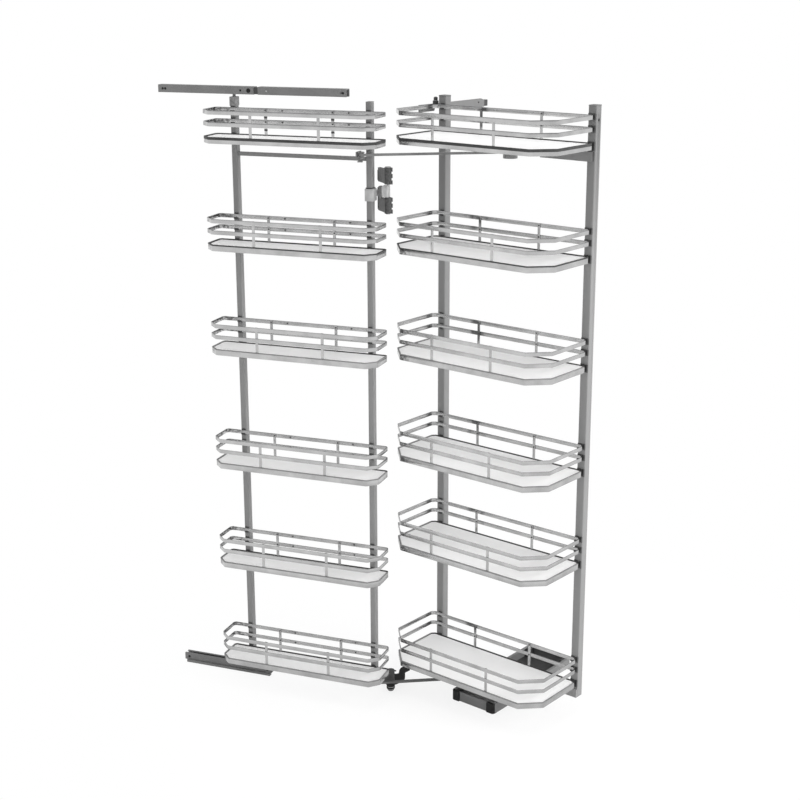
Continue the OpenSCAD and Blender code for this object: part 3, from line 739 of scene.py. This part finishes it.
# %% Mould the clips
def clips(unit, node, place, xs, y, side, end=None):
    """All clips of one unit; side is 1 where the upright is on the +y side."""
    bm = bmesh.new()

    def slab(x0, x1, y0, y1, z0, z1, edge):
        a, b = sorted((y + side * y0, y + side * y1))
        block(bm, (x0, a, z0), (x1, b, z1), edge)

    for top in unit["tops"]:
        for rise, tall in ((0, RIM_H), (MID_RISE, RAIL_H), (TOP_RISE, RAIL_H)):
            high, low = top + rise, top + rise - tall
            for x in xs:
                slab(x - 6, x + 6, 0.1, 2, low - 3, high + 3.4, 0.5)
                slab(x - 6, x + 6, -3, 2, low - 2, low - 0.1, 0.5)
                slab(x - 6, x + 6, -3.4, -2.2, low - 2, low + 2.5, 0.4)
            if end:
                slab(end - 9, end, 0.1, 2, low - 2, high + 3, 0.5)
                slab(end - 1.4, end, -3, 2, low - 2, high + 3, 0.5)
    into_place(bm, place)
    made = plain_object(node + "_moulded", bm, [BLACK])
    settle(made, unit["body"], node)
    print(node, len(made.data.polygons), "faces")


clips(DEEP, "frame_clips", DEEP["place"], (27, 490.5), 210, 1, 507.4)
clips(SHALLOW, "rack_clips", RACK, (38, 422), 39, -1)

# %% [markdown]
# ## Collars and the upper hinge leaf
# The collars that hold the link rods are small castings: a sleeve round the
# bar between two flanges, and a fork with two ears for the pin. The hinge's
# upper leaf is a clamp round the tube, and a pale barrel with five ribs that
# turns on the pin; the darker cast between the ribs is painted groove shade.
# Both are listed as shapes and put together in one go.


# %% Put shapes together
def small_parts(name, body, place, shapes, materials, node=None):
    """A piece of blocks and studs: each shape is its function and what that takes."""
    bm = bmesh.new()
    for shape, *rest in shapes:
        shape(bm, *rest)
    into_place(bm, place)
    settle(plain_object(name, bm, materials), body, node)


# %% Shapes of the castings
PIN_X, PIN_Y, EAR_LIFT, CAP_LIFT = 48, 58, 6.2, 8


def collar(z, bar):
    """Shapes of one collar: z is the rod's middle, bar the underside of its bar."""
    shapes = []
    for s in (-1, 1):
        ear = z + s * EAR_LIFT
        shapes += [
            (stud, Vector((PIN_X, PIN_Y, ear)), UP, 6.2, 3.2, 0.6),
            (stud, Vector((PIN_X, PIN_Y, z + s * CAP_LIFT)), UP, 4.6, 1.2, 0.4, 1),
            (block, (PIN_X, 54.5, ear - 1.3), (63, 61.5, ear + 1.3), 0.5)]
    for lift in (-2, 12):
        shapes.append((stud, Vector((66, 29, bar + lift)), UP, 7.4, 2.6, 0.7, 1))
    return shapes + [
        (stud, Vector((PIN_X, PIN_Y, z)), UP, 3, 12, 0.3),
        (block, (61, 21, bar - 3), (70, 33, bar + 13), 1.2),
        (block, (61, 30, z - 7.4), (65, 61, z + 7.4), 0.8)]


def knuckle(low, high, top):
    """Shapes of the upper leaf: a clamp round the tube, a dark slab and a ribbed barrel, darker
    between its ribs as painted groove shade.
    """
    mid = (low + high) / 2
    ribs = [(block, (x, -8.6, low + 7.4), (x + 1.9, 8.9, high), 0.3)
            for x in (-2.6, 1, 4.6, 8.2, 11.8)]
    return ribs + [
        (block, (26.2, 12.6, low), (49.4, 40.6, top), 1, 1),
        (block, (-3, -7, low + 7.8), (13.2, 7, high - 0.4), 0.6, 1),
        (block, (17, -4, low + 4), (23.4, 9.6, high - 1), 0.6, 2),
        (block, (13, -2, low + 9), (18, 6, high - 3), 0.5, 1),
        (block, (22, 0, mid - 8), (31, 5, mid + 8), 0.8, 1),
        (block, (27, 0, mid - 8), (31, 14, mid + 8), 0.8, 1)]


# %% Make the castings
ROD_HIGH, BAR_HIGH, ROD_LOW, BAR_LOW = 1534, 1514.5, 47, 57
LEAF_BASE, BARREL_TOP, CLAMP_TOP = 1413, 1450, 1445
small_parts("collars_cast", "door_rack", RACK,
            collar(ROD_HIGH, BAR_HIGH) + collar(ROD_LOW, BAR_LOW), [DARK_PAINT, CAST],
            "rack_collars")
small_parts("upper_leaf", "door_rack", RACK,
            knuckle(LEAF_BASE, BARREL_TOP, CLAMP_TOP), [PALE_CAST, CAST, DARK_PAINT],
            "rack_hinge_upper")
# A thin black band round the tube along the clamp's top edge.
small_parts("clamp_top_dark_band", "door_rack", RACK,
            [(block, (28.6, 15.6, 1444.8), (47.4, 38.4, 1448), 0.5)], [BLACK])
print("collars stand", ROD_HIGH - ROD_LOW, "mm apart")

# %% [markdown]
# ## Foot, screws and hole backs
# The ringed foot under the swing axis is stacked from turned discs. Washers
# and screws sit where the real ones hold the plate and the pin. Dark discs
# close the drilled holes from behind, painted shade inside the holes, so that
# they read as holes and not as daylight, and a thin black liner paints the
# shade inside the runner.

# %% Foot and screws
FOOT_DISCS = (  # middle height, radius, thickness, finish
    (23.2, 12, 4.6, 0), (19.8, 10.6, 3, 1), (16.8, 12, 3.8, 0), (14, 11.4, 3, 2),
    (12.2, 10.4, 3, 2), (10.2, 9.2, 3, 2), (8.2, 7.8, 3, 2))
PLATE_SCREWS = (  # x, y, radius, middle height, finish
    (0, 0, 7.6, 31.5, 0), (0, 0, 5.6, 32.3, 1), (-25, 33, 4, 32, 0),
    (-25, 33, 2.2, 33, 1), (-36, 62, 4, 32, 0), (-36, 62, 2.2, 33, 1))
PIN_TOP, ROLLER = 1498.1, shifted(-260.6, -38)
small_parts("foot_turned", "cabinet_fixings", AXIS,
            [(stud, Vector((0, 0, z)), UP, radius, tall, 0.7, tone, 32)
             for z, radius, tall, tone in FOOT_DISCS], [BLACK_AND_HOLE_SHADE, CAST, DARK_PAINT], "pivot_foot")
small_parts("plate_screws", "cabinet_fixings", AXIS,
            [(stud, Vector((x, y, z)), UP, radius, 1.6, 0.3, tone)
             for x, y, radius, z, tone in PLATE_SCREWS], [BRIGHT, BLACK_AND_HOLE_SHADE])
small_parts("hinge_washers", "cabinet_fixings", AXIS,
            [(stud, Vector((0, 0, PIN_TOP)), UP, 8.4, 1.4, 0.3)], [BRIGHT])
small_parts("roller_hub", "guide_roller", ROLLER,
            [(stud, Vector((0, 0, 1658.3)), UP, 2.6, 1.2, 0.3),
             (stud, Vector((0, 0, 1650)), UP, 6.4, 1.6, 0.3)], [BRIGHT])
print("foot of", len(FOOT_DISCS), "discs")

# %% Hole backs and the runner's liner, painted shade
RAIL_BACK, HIGH_RAIL, LOW_RAIL = 37.2, 1686, 24
RAIL_HOLES = ((375, 6), (398, 3), (628.4, 3.4), (620.6, 3.4), (107, 3.2))  # x and radius
LOW_RAIL_HOLES = (372, 628)
# Black discs behind the holes: painted shade inside them.
small_parts("rail_hole_shades", "door_rail_upper", RACK,
            [(stud, Vector((x, RAIL_BACK, HIGH_RAIL)), ALONG, radius, 1.8, 0.2)
             for x, radius in RAIL_HOLES], [BLACK_AND_HOLE_SHADE])
small_parts("low_rail_hole_backs", "door_rail_lower", RACK,
            [(stud, Vector((x, RAIL_BACK, LOW_RAIL)), ALONG, 4, 1.9, 0.2)
             for x in LOW_RAIL_HOLES], [BLACK_AND_HOLE_SHADE])
small_parts("rail_screw", "door_rail_upper", RACK,
            [(stud, Vector((323, 37.6, HIGH_RAIL)), ALONG, 2.5, 2, 0.5)], [BRIGHT])
# A black disc behind the tube's hole: painted shade inside it.
small_parts("tube_hole_shade", "inner_frame", LEVEL,
            [(stud, Vector((253.7, -38, 1629)), RIGHT, 4.2, 1, 0.2)], [BLACK_AND_HOLE_SHADE])
# A thin black sheet along the runner's floor: painted shade inside it.
small_parts("runner_shade_liner", "cabinet_fixings", LEVEL,
            [(block, (-70, -182, 1.9), (70, 178, 2.2), 0.05)], [BLACK])
print("rail holes backed", len(RAIL_HOLES) + len(LOW_RAIL_HOLES))
